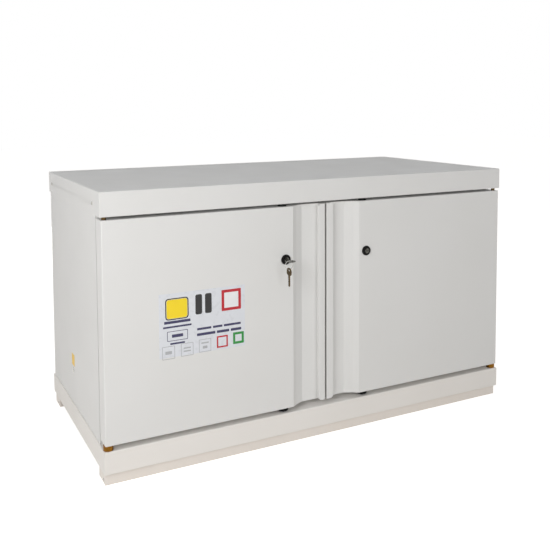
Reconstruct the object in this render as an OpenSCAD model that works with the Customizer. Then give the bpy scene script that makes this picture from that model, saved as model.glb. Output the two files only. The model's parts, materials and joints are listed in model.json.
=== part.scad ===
// Under-bench fire-resistant cabinet for reagents: an insulated double-wall steel case on two
// plinth channels, with two insulated pivot doors. Each door has a full-height finger grip pressed
// into its meeting edge, and a key lock that throws one bolt rod down and one up.
// Frame: origin on the floor under the middle of the case, +X to the right, +Y to the back, +Z up.
// Depths named "v" run back from the front face; widths named "u" run out from the middle plane.

/* [Case] */
// Overall width over the cover and the base pan
case_w = 1100; // [1000:10:1200]
// Overall depth of the case, without keys and spigots
case_d = 540; // [500:10:600]
// Overall height from the floor to the top
case_h = 632; // [600:2:720]
// Height of the skirt of the top cover
cover_skirt = 53.5; // [45:0.5:70]
// Height of the skirt of the base pan
pan_skirt = 51; // [45:1:70]
// Height of the plinth below the base pan
plinth_h = 25; // [20:1:50]
// How far side walls, doors and plinth stand back from the skirt line
side_inset = 3; // [2:0.5:6]
// Thickness of the outer and inner sheet steel
sheet = 1.2; // [0.8:0.1:2]
// Thickness of the insulated side walls
side_wall = 58; // [50:1:70]
// Thickness of the insulated back wall
back_wall = 60; // [50:1:70]
// Width of the folded returns on the side panels
side_return = 20; // [10:1:30]
// Width of the inward flange on the base pan, sides and back
pan_flange = 30; // [20:1:40]
// Bend radius at the folded edges of the cover and the base pan
fold_r = 2.5; // [1.5:0.25:4]

/* [Plinth] */
// Depth of each plinth channel, front to back
plinth_channel = 52; // [30:1:80]
// Setback of the plinth channels from the front and back faces
plinth_setback = 8; // [4:1:30]
// Sheet thickness of the plinth channels
plinth_wall = 2; // [1.5:0.1:3]
// Radius of the rivet heads on the plinth ends
rivet_r = 3; // [2:0.25:4]
// Height of the rivets above the floor
rivet_z = 9; // [7:0.5:12]

/* [Front frame and seals] */
// Depth from the front face to the front frame
frame_v = 47.5; // [47:0.5:55]
// Height of the frame's bottom and top rails
frame_rail = 28; // [24:1:40]
// Depth of the frame's inner return
frame_return = 18; // [12:1:30]
// Width of the heat-swelling strips on the frame
strip_w = 14; // [10:1:15]
// Thickness of the heat-swelling strips
strip_t = 1.8; // [1:0.1:2.5]
// Width of the door gasket
gasket_w = 12; // [8:1:14]

/* [Doors] */
// Door thickness from face to inner sheet
door_t = 42; // [39:0.5:43]
// Gap between the door bottom and the base pan
gap_bottom = 12.5; // [9:0.5:16]
// Gap between the door top and the cover
gap_top = 7; // [5:0.5:10]
// Gap between the two doors
gap_middle = 5; // [4:0.5:8]
// Bend radius at the door's outer corners
door_bend = 2.5; // [2:0.5:4]

/* [Finger grip] */
// Distance from the middle plane to the crease where the flat face ends
grip_crease = 93; // [86:1:94]
// Distance from the middle plane to the foot of the slanted wall
grip_foot = 60; // [50:1:70]
// Depth of the grip below the door face, at its foot
grip_depth = 19; // [14:0.5:24]
// How much shallower the grip floor is at the lip
grip_rise = 0.5; // [0:0.5:5]
// How far the slanted wall is dished
grip_dish = 2; // [0.5:0.25:3]
// Distance from the middle plane to the foot of the wall that runs back under the lip
grip_lip_foot = 12; // [10:0.5:34]
// Distance from the middle plane to the edge of the lip
lip_edge = 22; // [20:0.5:24]
// Setback of the lip from the door face
lip_setback = 4.5; // [2:0.5:8]
// Leg of the cut corners at the two ends of the lip
lip_cut = 7; // [3:0.5:12]

/* [Hinges] */
// Distance of the pivot from the door's outer edge
pivot_edge = 9; // [8:0.5:12]
// Distance of the pivot behind the door face
pivot_v = 12; // [10:0.5:14]
// Radius of the lower pivot pin
pin_r = 6; // [4:0.5:6.5]
// Radius of the upper pivot pin
top_pin_r = 5; // [4:0.5:6]
// How far the pivot pins reach into the doors
pin_reach = 30; // [20:1:40]
// Radius of the brass thrust bush under each door
bush_r = 11; // [10:0.5:12]
// Thickness of the hinge plates in the pan and the cover
hinge_plate_t = 6; // [4:0.5:8]
// Radial running clearance of pins, rods and shafts
run_clear = 0.05; // [0.03:0.01:0.09]

/* [Locks] */
// Distance of each lock from the middle plane
lock_u = 113; // [112:1:160]
// Height of the locks above the floor
lock_z = 447; // [300:1:470]
// Radius of the black lock rose
rose_r = 12; // [11:0.5:16]
// Thickness of the lock rose
rose_t = 5; // [3:0.5:7]
// Radius of the lock barrel
barrel_r = 6; // [5:0.25:7]
// How far the barrel stands out of the rose
barrel_proud = 1; // [0.5:0.25:3]
// Radius of the bolt rods
rod_r = 4; // [3:0.5:4.5]
// Distance of the bolt rods behind the door face
rod_v = 18; // [17:0.5:19]
// Teeth on the pinion
pinion_teeth = 18; // [16:1:18]
// Module of the pinion and racks
tooth_module = 1; // [0.9:0.05:1]
// Radius of the black pads that guide the rods
pad_r = 12.5; // [10:0.5:14]
// Thickness of the guide pad below the door
pad_t = 9; // [6:0.5:10]
// Wall of the lock case
case_wall = 2; // [1.5:0.25:3]

/* [Keys] */
// Width of a key's bow
bow_w = 22; // [18:0.5:24]
// Length of a key's bow
bow_l = 18.5; // [16:0.5:22]
// Radius of the hole in the bow
bow_hole_r = 3; // [2.5:0.25:3.5]
// Distance of the hole from the end of the bow
bow_hole_end = 5.5; // [5:0.25:7]
// Thickness of a key
key_t = 1.8; // [1.5:0.1:2.5]
// Width of the key's blade
blade_w = 7; // [6:0.5:9]
// Length of the key from the tip of its blade to the end of its bow
key_l = 44; // [38:1:52]
// How far the end of the bow stands in front of the door
key_reach = 34.5; // [32:0.5:38]
// Inside radius of the key ring
ring_r = 9.25; // [8:0.25:10]
// Wire radius of the key ring
ring_wire = 0.8; // [0.5:0.1:1]

/* [Inside] */
// Height of the shelf's upper face
shelf_z = 332; // [250:1:400]
// Height of the shelf's folded edge
shelf_edge = 25; // [15:1:40]
// Gap between the shelf and the shelf rails
shelf_gap = 1.5; // [1:0.5:4]
// Height of the spill basin
basin_h = 60; // [40:1:90]
// Gap between the spill basin and the liner
basin_gap = 4; // [2:1:10]
// Width of the shelf rails
rail_w = 22; // [16:1:30]
// Thickness of the shelf rails
rail_t = 3; // [2:0.5:5]
// Distance of the shelf rails from the front and back of the liner
rail_inset = 60; // [40:5:90]

/* [Vents] */
// Outer radius of the duct spigots
duct_r = 37.5; // [25:0.5:40]
// Wall of the duct spigots
duct_wall = 1.5; // [1:0.1:2]
// How far the spigots reach behind the case
duct_reach = 40; // [36:1:60]
// Width of the spigots' collars
duct_collar = 12; // [8:1:18]
// Distance of the vents from the middle plane
vent_u = 250; // [150:5:350]
// Height of the inlet above the floor
inlet_z = 205; // [200:5:225]
// Distance of the outlet below the top
outlet_drop = 142; // [137:5:192]
// Thickness of the damper discs
disc_t = 2; // [1.5:0.25:4]
// Radius of the damper shafts
shaft_r = 3; // [2.5:0.25:5]

/* [Fittings] */
// Radius of the heads of the cover screws
screw_r = 4; // [3:0.25:6]
// Thickness of the heads of the cover screws
screw_t = 1.6; // [1:0.1:3]
// Distance of the front cover screws from the front face
screw_front = 60; // [55:1:100]
// Distance of the rear cover screws from the rear face
screw_back = 40; // [20:1:80]
// Distance of the cover screws below the top
screw_drop = 30; // [20:1:35]
// Height of the earth stud above the floor
earth_z = 161; // [120:1:250]
// Distance of the earth stud behind the front face
earth_v = 300; // [150:5:400]
// Tapping radius of the earth stud's M6 thread
earth_r = 2.5; // [2:0.05:3]
// Side of the square earth label
earth_label_side = 28; // [15:1:40]
// Distance from the earth stud up to the middle of its label
earth_label_up = 25; // [22:1:40]
// Width of the plain label sheet on the left door
label_w = 205; // [100:5:220]
// Height of the plain label sheet
label_h = 142; // [80:2:160]
// Distance from the middle plane to the middle of the label sheet
label_u = 322.5; // [260:0.5:340]
// Height of the middle of the label sheet
label_z = 329.5; // [250:0.5:400]
// Thickness of the labels
label_t = 0.3; // [0.2:0.05:0.5]

/* [Hidden] */

$fn = 48;
paint = [0.93, 0.93, 0.90];
plinth_paint = [0.85, 0.81, 0.77];
galvanised = [0.74, 0.76, 0.77];
steel = [0.62, 0.63, 0.65];
brass = [0.72, 0.55, 0.22];
board = [0.88, 0.86, 0.80];
black = [0.06, 0.06, 0.07];
seal_grey = [0.30, 0.30, 0.28];
yellow = [0.95, 0.80, 0.10];
clear_film = [0.90, 0.92, 0.90];

// Cut depth past a face, and the gap between flat faces on parts that move past each other
past = 1;
slip = 0.2;
// Radial gap of a hole that nothing runs in, and the wider one where a rod leaves the case
hole_gap = 0.5;
rod_hole_gap = 1;
// Gap left round a fitting set in the boards
core_gap = 0.3;

// Case levels
half_w = case_w / 2;
side_u = half_w - side_inset;
back_v = case_d - side_inset;
pan_z = plinth_h + pan_skirt;
cover_z = case_h - cover_skirt;
roof_z = case_h - sheet;
room_u = side_u - side_wall;
room_v = case_d - back_wall;
room_z0 = pan_z + frame_rail;
room_z1 = cover_z - frame_rail;
wall_v = frame_v + 2 * sheet;
board_v = back_v - 2 * sheet;
board_u = side_u - sheet;
liner_v = frame_v + frame_return;
// The pan's front flange runs on under the frame, and the frame's stiles lap behind the cover
flange_under_frame = 12.5;
pan_flange_front = frame_v + flange_under_frame;
frame_lap = 9;
frame_top = cover_z + sheet + frame_lap;
// Air over the board in the pan, where the hinge plates and rod keepers hang
board_drop = 9;

// Door levels
door_u = gap_middle / 2;
door_z0 = pan_z + gap_bottom;
door_z1 = cover_z - gap_top;
door_core_v = door_t - sheet;
pivot_u = side_u - pivot_edge;
strip_face_v = frame_v - strip_t;
gasket_t = strip_face_v - slip - door_t;
gasket_set = 2;
gasket_margin = sheet + hole_gap;
gasket_z0 = door_z0 + gasket_margin;
gasket_z1 = door_z1 - gasket_margin;
gasket_u = room_u + gasket_set;

// Hinge blocks in the doors, and the plates that hold the pins
hinge_block_u = 11;
hinge_block_v = 10;
hinge_block_end = 4;
hinge_block_h = pin_reach + hinge_block_end;
hinge_plate_l = 70;
hinge_plate_v = frame_v - 2;

// Seal along each door's meeting edge
edge_strip_t = min(1.3, gap_middle / 2 - 1);
edge_strip_back = 8;
edge_strip_end = 2;

// Lock gear: the pinion's pitch radius sets the throw of the rods over a quarter turn
pitch_r = pinion_teeth * tooth_module / 2;
tooth_pitch = PI * tooth_module;
rod_throw = pitch_r * PI / 2;
pressure = 20;
backlash = 0.2;
tooth_out = 0.95 * tooth_module;
tooth_in = 1.25 * tooth_module;
rack_body = 4.5;
pinion_t = 5;
gear_room = 2;
pinion_v = rod_v + rod_r + gear_room;
journal_r = barrel_r - 2;
lock_case_u = pitch_r + tooth_in + rack_body + hole_gap + case_wall;
lock_case_v0 = rod_v - rod_r - gear_room - case_wall;
lock_case_v1 = pinion_v + pinion_t + 1.5 * gear_room + case_wall;
foot_h = 8;
foot_gap = pitch_r + tooth_out + 1;
rack_reach = rod_throw + foot_h;
lock_case_h = max(foot_gap + foot_h + rod_throw, rack_reach) + 1 + case_wall;
guide_neck_r = rod_r + 4;
guide_neck = 12;
pad_top_t = 2;
pad_top_r = pad_r - 2;
keeper_t = 4;
keeper_r = 12;
rose_dome = 0.7;
key_clear = 0.3;
slot_w = blade_w + key_clear;
slot_t = key_t + key_clear;
blade_v = key_l - key_reach;

// Key form: how square the bow is, how deep the blade starts in it, its point and its cuts
bow_power = 0.85;
blade_root = 2;
blade_point = 3;
blade_tip = 1;
cut_first = 6;
cut_pitch = 4;
cut_sides = [1.6, 1.9];

// Keys and ring: the ring hangs over the rim of the bow beside its hole
hole_offset = bow_l / 2 - bow_hole_end;
rim_out = bow_w / 2 * sqrt(1 - pow(2 * hole_offset / bow_l, 2));
rim_half = (rim_out - bow_hole_r) / 2;
ring_mean = ring_r + ring_wire;
ring_gap = 0.3;
ring_u = lock_u + bow_hole_r + rim_half;
ring_v = bow_hole_end - key_reach;
ring_z = lock_z + key_t / 2 + ring_gap - sqrt(ring_r * ring_r - rim_half * rim_half);
spare_hole_z = ring_z - ring_mean + ring_wire + ring_gap - bow_hole_r;

// Vents: the discs stand in the middle of the spigots
outlet_z = case_h - outlet_drop;
duct_v1 = case_d + duct_reach;
disc_v = (room_v + duct_v1) / 2;
duct_bore_r = duct_r - duct_wall;
disc_r = duct_bore_r - 0.5;
duct_clear = 0.4;
grille_r = duct_r + 8;
grille_t = 1.5;
grille_slots = 3;
grille_rim = 2;

// Shelf rails with a row of slots, and the clips that carry the shelf
rail_end = 15;
rail_slot_pitch = 25;
rail_slot_h = 8;
shelf_set = 15;
shelf_u = room_u - rail_t - shelf_gap;
clip_w = 14;
clip_l = 12;
clip_t = 4;

// Earth stud: a moulded body with a flange, and the threaded bore through it
earth_body_r = earth_r + 2;
earth_depth = 12;
earth_flange = [2.5, 1];

// Box by its limits in width, depth and height
module block(u0, u1, v0, v1, z0, z1) {
    translate([u0, v0 - case_d / 2, z0]) cube([u1 - u0, v1 - v0, z1 - z0]);
}

// Upright round bar
module post(r, u, v, z0, z1) {
    translate([u, v - case_d / 2, z0]) cylinder(r = r, h = z1 - z0);
}

// Round bar from front to back
module bar_back(r, u, z, v0, v1) {
    translate([u, v1 - case_d / 2, z]) rotate([90, 0, 0]) cylinder(r = r, h = v1 - v0);
}

// Round bar from left to right
module bar_across(r, u0, u1, v, z) {
    translate([u0, v - case_d / 2, z]) rotate([0, 90, 0]) cylinder(r = r, h = u1 - u0);
}

// Outline drawn in width and height, standing upright from depth v0 to v1
module upright(v0, v1) {
    translate([0, v1 - case_d / 2, 0]) rotate([90, 0, 0]) linear_extrude(v1 - v0) children();
}

module both_sides() {
    children();
    mirror([1, 0, 0]) children();
}

module on_left() {
    mirror([1, 0, 0]) children();
}

// ---- outlines ----

function unit(a) = a / norm(a);
function inward(a, b) = let (t = unit(b - a)) [-t[1], t[0]];

// The outline moved inwards by a distance, corner by corner
function parallel(p, d) = [
    for (i = [0:len(p) - 1])
        let (a = i > 0 ? inward(p[i - 1], p[i]) : inward(p[0], p[1]),
             b = i < len(p) - 1 ? inward(p[i], p[i + 1]) : a)
        p[i] + d * (a + b) / (1 + a * b)
];

// Points of one rounded corner at b, between a and c
function corner(a, b, c, r) =
    let (ua = unit(a - b), uc = unit(c - b),
         half = acos(ua * uc) / 2,
         mid = b + unit(ua + uc) * r / sin(half),
         s = b + ua * r / tan(half),
         side = (b[0] - a[0]) * (c[1] - b[1]) - (b[1] - a[1]) * (c[0] - b[0]) > 0 ? 1 : -1,
         sweep = side * (180 - 2 * half),
         steps = ceil(abs(sweep) / 15),
         start = atan2(s[1] - mid[1], s[0] - mid[0]))
    [for (i = [0:steps]) mid + r * [cos(start + sweep * i / steps), sin(start + sweep * i / steps)]];

// The outline p with each inner corner rounded by the radius in r
function rounded(p, r) = [
    for (i = [0:len(p) - 1])
        each i == 0 || i == len(p) - 1 ? [p[i]] : corner(p[i - 1], p[i], p[i + 1], r[i])
];

// Front outline of a door in plan, from the meeting edge to the outer edge
dish_u = (grip_crease + grip_foot) / 2 + 2 * grip_dish;
dish_v = grip_depth * (grip_crease - dish_u) / (grip_crease - grip_foot) + grip_dish;
door_corners = [
    [door_u, door_t], [door_u, lip_setback], [lip_edge, lip_setback],
    [grip_lip_foot, grip_depth - grip_rise], [grip_foot, grip_depth], [dish_u, dish_v],
    [grip_crease, 0], [side_u, 0], [side_u, door_t]
];
lip_bend = 1.5;
foot_bends = [3, 6];
dish_bend = 25;
door_radii = [0, lip_bend, lip_bend, foot_bends[0], foot_bends[1], dish_bend, door_bend, door_bend, 0];
door_outline = rounded(door_corners, door_radii);

// The door's form moved in by a distance on every side but its back, which lies at depth v1
module door_form(inset, v1) {
    outline = parallel(door_outline, inset);
    last = len(outline) - 1;
    open_outline = [
        for (i = [0:last]) i == 0 || i == last ? [outline[i][0], v1] : outline[i]
    ];
    leg = lip_cut + inset * (sqrt(2) - 1);
    difference() {
        translate([0, -case_d / 2, door_z0 + inset])
            linear_extrude(door_z1 - door_z0 - 2 * inset) polygon(open_outline);
        for (z = [door_z0 + inset, door_z1 - inset])
            upright(-past, grip_depth - grip_rise + inset)
                translate([max(grip_lip_foot, lip_edge), z])
                    polygon([
                        [0, z < lock_z ? -past : past],
                        [0, z < lock_z ? lip_end + leg : -lip_end - leg],
                        [-lip_end - leg, 0],
                        [-lip_end - leg, z < lock_z ? -past : past]
                    ]);
    }
}
lip_end = max(0, grip_lip_foot - lip_edge);

// ---- gear ----

function involute(a) = tan(a) - a * PI / 180;
// Half width of a pinion tooth at radius r, as an angle
function half_tooth(r) =
    let (base = pitch_r * cos(pressure), a = acos(min(1, base / r)))
    (tooth_pitch / 2 - backlash / 2) / (2 * pitch_r) * 180 / PI
    + (involute(pressure) - involute(a)) * 180 / PI;
base_r = pitch_r * cos(pressure);
tip_r = pitch_r + tooth_out;
root_r = pitch_r - tooth_in;
flank_steps = 4;
flank = [
    [root_r, half_tooth(base_r)],
    for (i = [0:flank_steps]) let (r = base_r + (tip_r - base_r) * i / flank_steps) [r, half_tooth(r)]
];
function polar(r, a) = r * [cos(a), sin(a)];

module pinion_outline() {
    polygon([
        for (k = [0:pinion_teeth - 1]) let (middle = k * 360 / pinion_teeth)
            each concat(
                [for (f = flank) polar(f[0], middle - f[1])],
                [for (i = [len(flank) - 1:-1:0]) polar(flank[i][0], middle + flank[i][1])]
            )
    ]);
}

// Rack with its pitch line at x = 0, its teeth towards -x and a gap at height phase
module rack_outline(z0, z1, phase) {
    half = tooth_pitch / 4 - backlash / 4;
    slope = tan(pressure);
    first = ceil((z0 + 2 - phase) / tooth_pitch - 0.5);
    last = floor((z1 - 2 - phase) / tooth_pitch - 0.5);
    translate([tooth_in, z0]) square([rack_body, z1 - z0]);
    for (k = [first:last]) translate([0, phase + (k + 0.5) * tooth_pitch])
        polygon([
            [tooth_in + 0.1, -half - slope * tooth_in], [-tooth_out, -half + slope * tooth_out],
            [-tooth_out, half - slope * tooth_out], [tooth_in + 0.1, half + slope * tooth_in]
        ]);
}

// ---- case ----

// Side view of a folded box, a half width w to each side, with its folds at the given heights
function fold_outline(w, z0, z1, r0, r1) = let (middle = (z0 + z1) / 2) rounded(
    [[w, middle], [w, z1], [-w, z1], [-w, z0], [w, z0], [w, middle - 1]], [0, r1, r1, r0, r0, 0]
);

// Box with rounded folds along its lower and upper edges and sharp seams at its upright corners
module folded_box(z0, z1, r0, r1) {
    intersection() {
        upright(0, case_d) polygon(fold_outline(half_w, z0, z1, r0, r1));
        translate([-half_w, 0, 0]) rotate([90, 0, 90])
            linear_extrude(case_w) polygon(fold_outline(case_d / 2, z0, z1, r0, r1));
    }
}

module top_cover() {
    color(paint) difference() {
        folded_box(cover_z, case_h, sheet / 2, fold_r);
        block(-half_w + sheet, half_w - sheet, sheet, case_d - sheet, cover_z + sheet, roof_z);
        block(-side_u, side_u, frame_v, back_v, cover_z - past, cover_z + 2 * sheet);
        both_sides() {
            post(top_pin_r + run_clear, pivot_u, pivot_v, cover_z - past, cover_z + 2 * sheet);
            post(rod_r + rod_hole_gap, lock_u, rod_v, cover_z - past, cover_z + 2 * sheet);
            cover_screw_holes(half_w - 2 * sheet, half_w + past);
        }
    }
}

module cover_screw_holes(u0, u1) {
    for (v = [screw_front, case_d - screw_back])
        bar_across(screw_r / 2 + run_clear, u0, u1, v, case_h - screw_drop);
}

module cover_screws() {
    color(steel) both_sides() for (v = [screw_front, case_d - screw_back]) {
        bar_across(screw_r / 2, board_u, half_w + past / 2, v, case_h - screw_drop);
        bar_across(screw_r, half_w, half_w + screw_t, v, case_h - screw_drop);
    }
}

module base_pan() {
    color(paint) difference() {
        folded_box(plinth_h, pan_z, fold_r, fold_r);
        block(-half_w + sheet, half_w - sheet, sheet, case_d - sheet, plinth_h + sheet, pan_z - sheet);
        block(-half_w + pan_flange, half_w - pan_flange, pan_flange_front, case_d - pan_flange,
              pan_z - 2 * sheet, pan_z + past);
        both_sides() {
            post(pin_r + run_clear, pivot_u, pivot_v, pan_z - 2 * sheet, pan_z + past);
            post(rod_r + rod_hole_gap, lock_u, rod_v, pan_z - 2 * sheet, pan_z + past);
        }
    }
}

module side_panel() {
    color(paint) difference() {
        union() {
            block(board_u, side_u, frame_v, back_v, pan_z, roof_z);
            block(side_u - side_return, side_u, frame_v + sheet, wall_v, pan_z, roof_z);
            block(side_u - side_return, side_u, board_v, back_v - sheet, pan_z, roof_z);
        }
        cover_screw_holes(board_u - past, side_u + past);
    }
}

module side_panel_left() {
    difference() {
        on_left() side_panel();
        on_left() bar_across(earth_body_r + run_clear, board_u - past, side_u + past, earth_v, earth_z);
    }
}

module side_panel_right() {
    side_panel();
}

module duct_holes(r, v0, v1) {
    bar_back(r, vent_u, inlet_z, v0, v1);
    bar_back(r, -vent_u, outlet_z, v0, v1);
}

module back_panel() {
    color(paint) difference() {
        block(-board_u, board_u, back_v - sheet, back_v, pan_z, roof_z);
        duct_holes(duct_r + duct_clear, back_v - 2 * sheet, back_v + past);
    }
}

module plinth(v0) {
    v1 = v0 + plinth_channel;
    color(plinth_paint) difference() {
        block(-side_u, side_u, v0, v1, 0, plinth_h);
        block(-side_u + plinth_wall, side_u - plinth_wall, v0 + plinth_wall, v1 - plinth_wall,
              plinth_wall, plinth_h + past);
        both_sides()
            bar_across(rivet_r / 2 + run_clear, side_u - 2 * plinth_wall, side_u + past,
                       v0 + plinth_channel / 4, rivet_z);
    }
}

module plinth_front() {
    plinth(plinth_setback);
}

module plinth_rear() {
    plinth(case_d - plinth_setback - plinth_channel);
}

module plinth_rivets() {
    rivet_t = side_inset / 2;
    color(steel) both_sides()
        for (v = [plinth_setback, case_d - plinth_setback - plinth_channel]) {
            bar_across(rivet_r / 2, side_u - plinth_wall, side_u + rivet_t / 2,
                       v + plinth_channel / 4, rivet_z);
            bar_across(rivet_r, side_u, side_u + rivet_t, v + plinth_channel / 4, rivet_z);
        }
}

// Two stiles and two rails, welded at the corners, each with its return round the opening
module front_frame() {
    color(paint) {
        both_sides() {
            block(room_u, board_u, frame_v, frame_v + sheet, pan_z, frame_top);
            block(room_u, room_u + sheet, frame_v, liner_v, room_z0 - sheet, room_z1 + sheet);
        }
        block(-room_u, room_u, frame_v, frame_v + sheet, pan_z, room_z0);
        block(-room_u, room_u, frame_v, liner_v, room_z0 - sheet, room_z0);
        block(-room_u, room_u, frame_v, frame_v + sheet, room_z1, frame_top);
        block(-room_u, room_u, frame_v, liner_v, room_z1, room_z1 + sheet);
    }
}

module frame_strips() {
    middle_u = gasket_u + gasket_w / 2;
    color(seal_grey) {
        both_sides()
            block(middle_u - strip_w / 2, middle_u + strip_w / 2, strip_face_v, frame_v,
                  gasket_z0, gasket_z1);
        for (z = [gasket_z0 + gasket_w / 2, gasket_z1 - gasket_w / 2])
            block(-middle_u + strip_w / 2 + past, middle_u - strip_w / 2 - past,
                  strip_face_v, frame_v, z - strip_w / 2, z + strip_w / 2);
    }
}

// Floor, sides and roof of the room, folded from one sheet
module inner_liner() {
    color(paint) difference() {
        block(-room_u - sheet, room_u + sheet, liner_v, room_v, room_z0 - sheet, room_z1 + sheet);
        block(-room_u, room_u, liner_v - past, room_v + past, room_z0, room_z1);
    }
}

module liner_back() {
    color(paint) difference() {
        block(-room_u - sheet, room_u + sheet, room_v, room_v + sheet,
              room_z0 - sheet, room_z1 + sheet);
        duct_holes(duct_r + duct_clear, room_v - past, room_v + 2 * sheet);
    }
}

module side_boards() {
    color(board) difference() {
        both_sides()
            block(room_u + sheet, board_u, wall_v, room_v + sheet, pan_z, room_z1 + sheet);
        on_left() bar_across(earth_body_r + hole_gap, board_u - earth_depth, side_u,
                             earth_v, earth_z);
    }
}

module top_board() {
    color(board) block(-board_u, board_u, wall_v, board_v, room_z1 + sheet, roof_z);
}

module bottom_board() {
    color(board) {
        block(-half_w + sheet, half_w - sheet, sheet, case_d - sheet,
              plinth_h + sheet, pan_z - sheet - board_drop);
        block(-room_u - sheet, room_u + sheet, pan_flange_front + past, room_v + sheet,
              plinth_h + 2 * sheet, room_z0 - sheet);
    }
}

module back_board() {
    color(board) difference() {
        block(-board_u, board_u, room_v + sheet, board_v, pan_z, room_z1 + sheet);
        duct_holes(duct_r + duct_clear, room_v, board_v + past);
    }
}

// ---- inside ----

module shelf_rails() {
    color(galvanised) both_sides()
        for (v = [liner_v + rail_inset, room_v - rail_inset]) difference() {
            block(room_u - rail_t, room_u, v - rail_w / 2, v + rail_w / 2,
                  room_z0 + basin_h + rail_end, room_z1 - rail_end);
            for (z = [room_z0 + basin_h + 2 * rail_end:rail_slot_pitch:room_z1 - 2 * rail_end])
                block(room_u - rail_t - past, room_u + past, v - rail_w / 6, v + rail_w / 6,
                      z, z + rail_slot_h);
        }
}

module shelf() {
    v0 = liner_v + shelf_set;
    v1 = room_v - shelf_set;
    color(paint) difference() {
        block(-shelf_u, shelf_u, v0, v1, shelf_z - shelf_edge, shelf_z);
        block(-shelf_u + sheet, shelf_u - sheet, v0 + sheet, v1 - sheet,
              shelf_z - shelf_edge - past, shelf_z - sheet);
    }
}

module shelf_clips() {
    color(steel) both_sides()
        for (v = [liner_v + rail_inset, room_v - rail_inset])
            block(shelf_u - clip_l, room_u - rail_t, v - clip_w / 2, v + clip_w / 2,
                  shelf_z - shelf_edge - clip_t, shelf_z - shelf_edge);
}

module spill_basin() {
    basin_u = room_u - basin_gap;
    color(galvanised) difference() {
        block(-basin_u, basin_u, liner_v + basin_gap, room_v - basin_gap,
              room_z0, room_z0 + basin_h);
        block(-basin_u + sheet, basin_u - sheet, liner_v + basin_gap + sheet,
              room_v - basin_gap - sheet, room_z0 + sheet, room_z0 + basin_h + past);
    }
}

// ---- vents ----

module spigot(u, z) {
    color(galvanised) difference() {
        union() {
            bar_back(duct_r, u, z, room_v, duct_v1);
            bar_back(duct_r + duct_collar, u, z, back_v, back_v + grille_t);
        }
        bar_back(duct_bore_r, u, z, room_v - past, duct_v1 + past);
        post(shaft_r + run_clear, u, disc_v, z - duct_r - past, z + duct_r + past);
    }
}

module outlet_spigot() {
    spigot(-vent_u, outlet_z);
}

module inlet_spigot() {
    spigot(vent_u, inlet_z);
}

// Disc on an upright shaft, standing edge-on in the open duct
module damper(u, z) {
    color(steel) {
        bar_across(disc_r, u - disc_t / 2, u + disc_t / 2, disc_v, z);
        post(shaft_r, u, disc_v, z - duct_r, z + duct_r);
    }
}

module outlet_damper() {
    damper(-vent_u, outlet_z);
}

module inlet_damper() {
    damper(vent_u, inlet_z);
}

module grille(u, z) {
    step = duct_bore_r / (grille_slots + 1);
    difference() {
        bar_back(grille_r, u, z, room_v - grille_t, room_v);
        for (k = [-grille_slots:grille_slots]) {
            half = sqrt(pow(duct_bore_r - grille_rim, 2) - pow(k * step, 2)) - step / 4;
            block(u - half, u + half, room_v - grille_t - past, room_v + past,
                  z + (k - 0.25) * step, z + (k + 0.25) * step);
        }
    }
}

module vent_grilles() {
    color(paint) {
        grille(-vent_u, outlet_z);
        grille(vent_u, inlet_z);
    }
}

// ---- fittings on the case ----

module earth_stud() {
    color(steel) on_left() difference() {
        union() {
            bar_across(earth_body_r, side_u - earth_depth, side_u + earth_flange[1] / 2,
                       earth_v, earth_z);
            bar_across(earth_body_r + earth_flange[0], side_u, side_u + earth_flange[1],
                       earth_v, earth_z);
        }
        bar_across(earth_r, side_u - earth_depth - past, side_u + earth_flange[1] + past,
                   earth_v, earth_z);
    }
}

module earth_label() {
    z = earth_z + earth_label_up;
    half = earth_label_side / 2;
    color(yellow) on_left()
        block(side_u, side_u + label_t, earth_v - half, earth_v + half, z - half, z + half);
}

module hinge_plates() {
    plate_u = half_w - sheet;
    color(galvanised) both_sides() {
        difference() {
            block(plate_u - hinge_plate_l, plate_u, sheet, hinge_plate_v,
                  pan_z - sheet - hinge_plate_t, pan_z - sheet);
            post(pin_r + run_clear, pivot_u, pivot_v, plinth_h, pan_z);
        }
        difference() {
            block(plate_u - hinge_plate_l, plate_u, sheet, hinge_plate_v,
                  cover_z + sheet, cover_z + sheet + hinge_plate_t);
            post(top_pin_r + run_clear, pivot_u, pivot_v, cover_z, case_h);
        }
    }
}

module hinge_pins() {
    color(steel) both_sides() {
        post(pin_r, pivot_u, pivot_v, pan_z - sheet - hinge_plate_t, door_z0 + sheet + pin_reach);
        post(top_pin_r, pivot_u, pivot_v, door_z1 - sheet - pin_reach,
             cover_z + sheet + hinge_plate_t);
    }
}

module hinge_bushes() {
    color(brass) both_sides() difference() {
        post(bush_r, pivot_u, pivot_v, pan_z, door_z0 - slip);
        post(pin_r + run_clear, pivot_u, pivot_v, pan_z - past, door_z0 + past);
    }
}

module rod_keepers() {
    color(galvanised) both_sides() {
        difference() {
            post(keeper_r, lock_u, rod_v, pan_z - sheet - keeper_t, pan_z - sheet);
            post(rod_r + hole_gap, lock_u, rod_v, plinth_h, pan_z);
        }
        difference() {
            post(keeper_r, lock_u, rod_v, cover_z + sheet, cover_z + sheet + keeper_t);
            post(rod_r + hole_gap, lock_u, rod_v, cover_z, case_h);
        }
    }
}

// ---- doors, drawn as the right-hand one ----

module pin_holes(extra) {
    post(pin_r + extra, pivot_u, pivot_v, door_z0 - past, door_z0 + 2 * sheet);
    post(top_pin_r + extra, pivot_u, pivot_v, door_z1 - 2 * sheet, door_z1 + past);
}

module door_skin() {
    color(paint) difference() {
        door_form(0, door_t);
        door_form(sheet, door_t + past);
        pin_holes(hole_gap);
        post(guide_neck_r + run_clear, lock_u, rod_v, door_z0 - past, door_z0 + 2 * sheet);
        post(guide_neck_r + run_clear, lock_u, rod_v, door_z1 - 2 * sheet, door_z1 + past);
        bar_back(barrel_r + hole_gap, lock_u, lock_z, -past, 2 * sheet);
    }
}

module door_inner() {
    color(paint)
        block(door_u + sheet, side_u - sheet, door_core_v, door_t, door_z0 + sheet, door_z1 - sheet);
}

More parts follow.
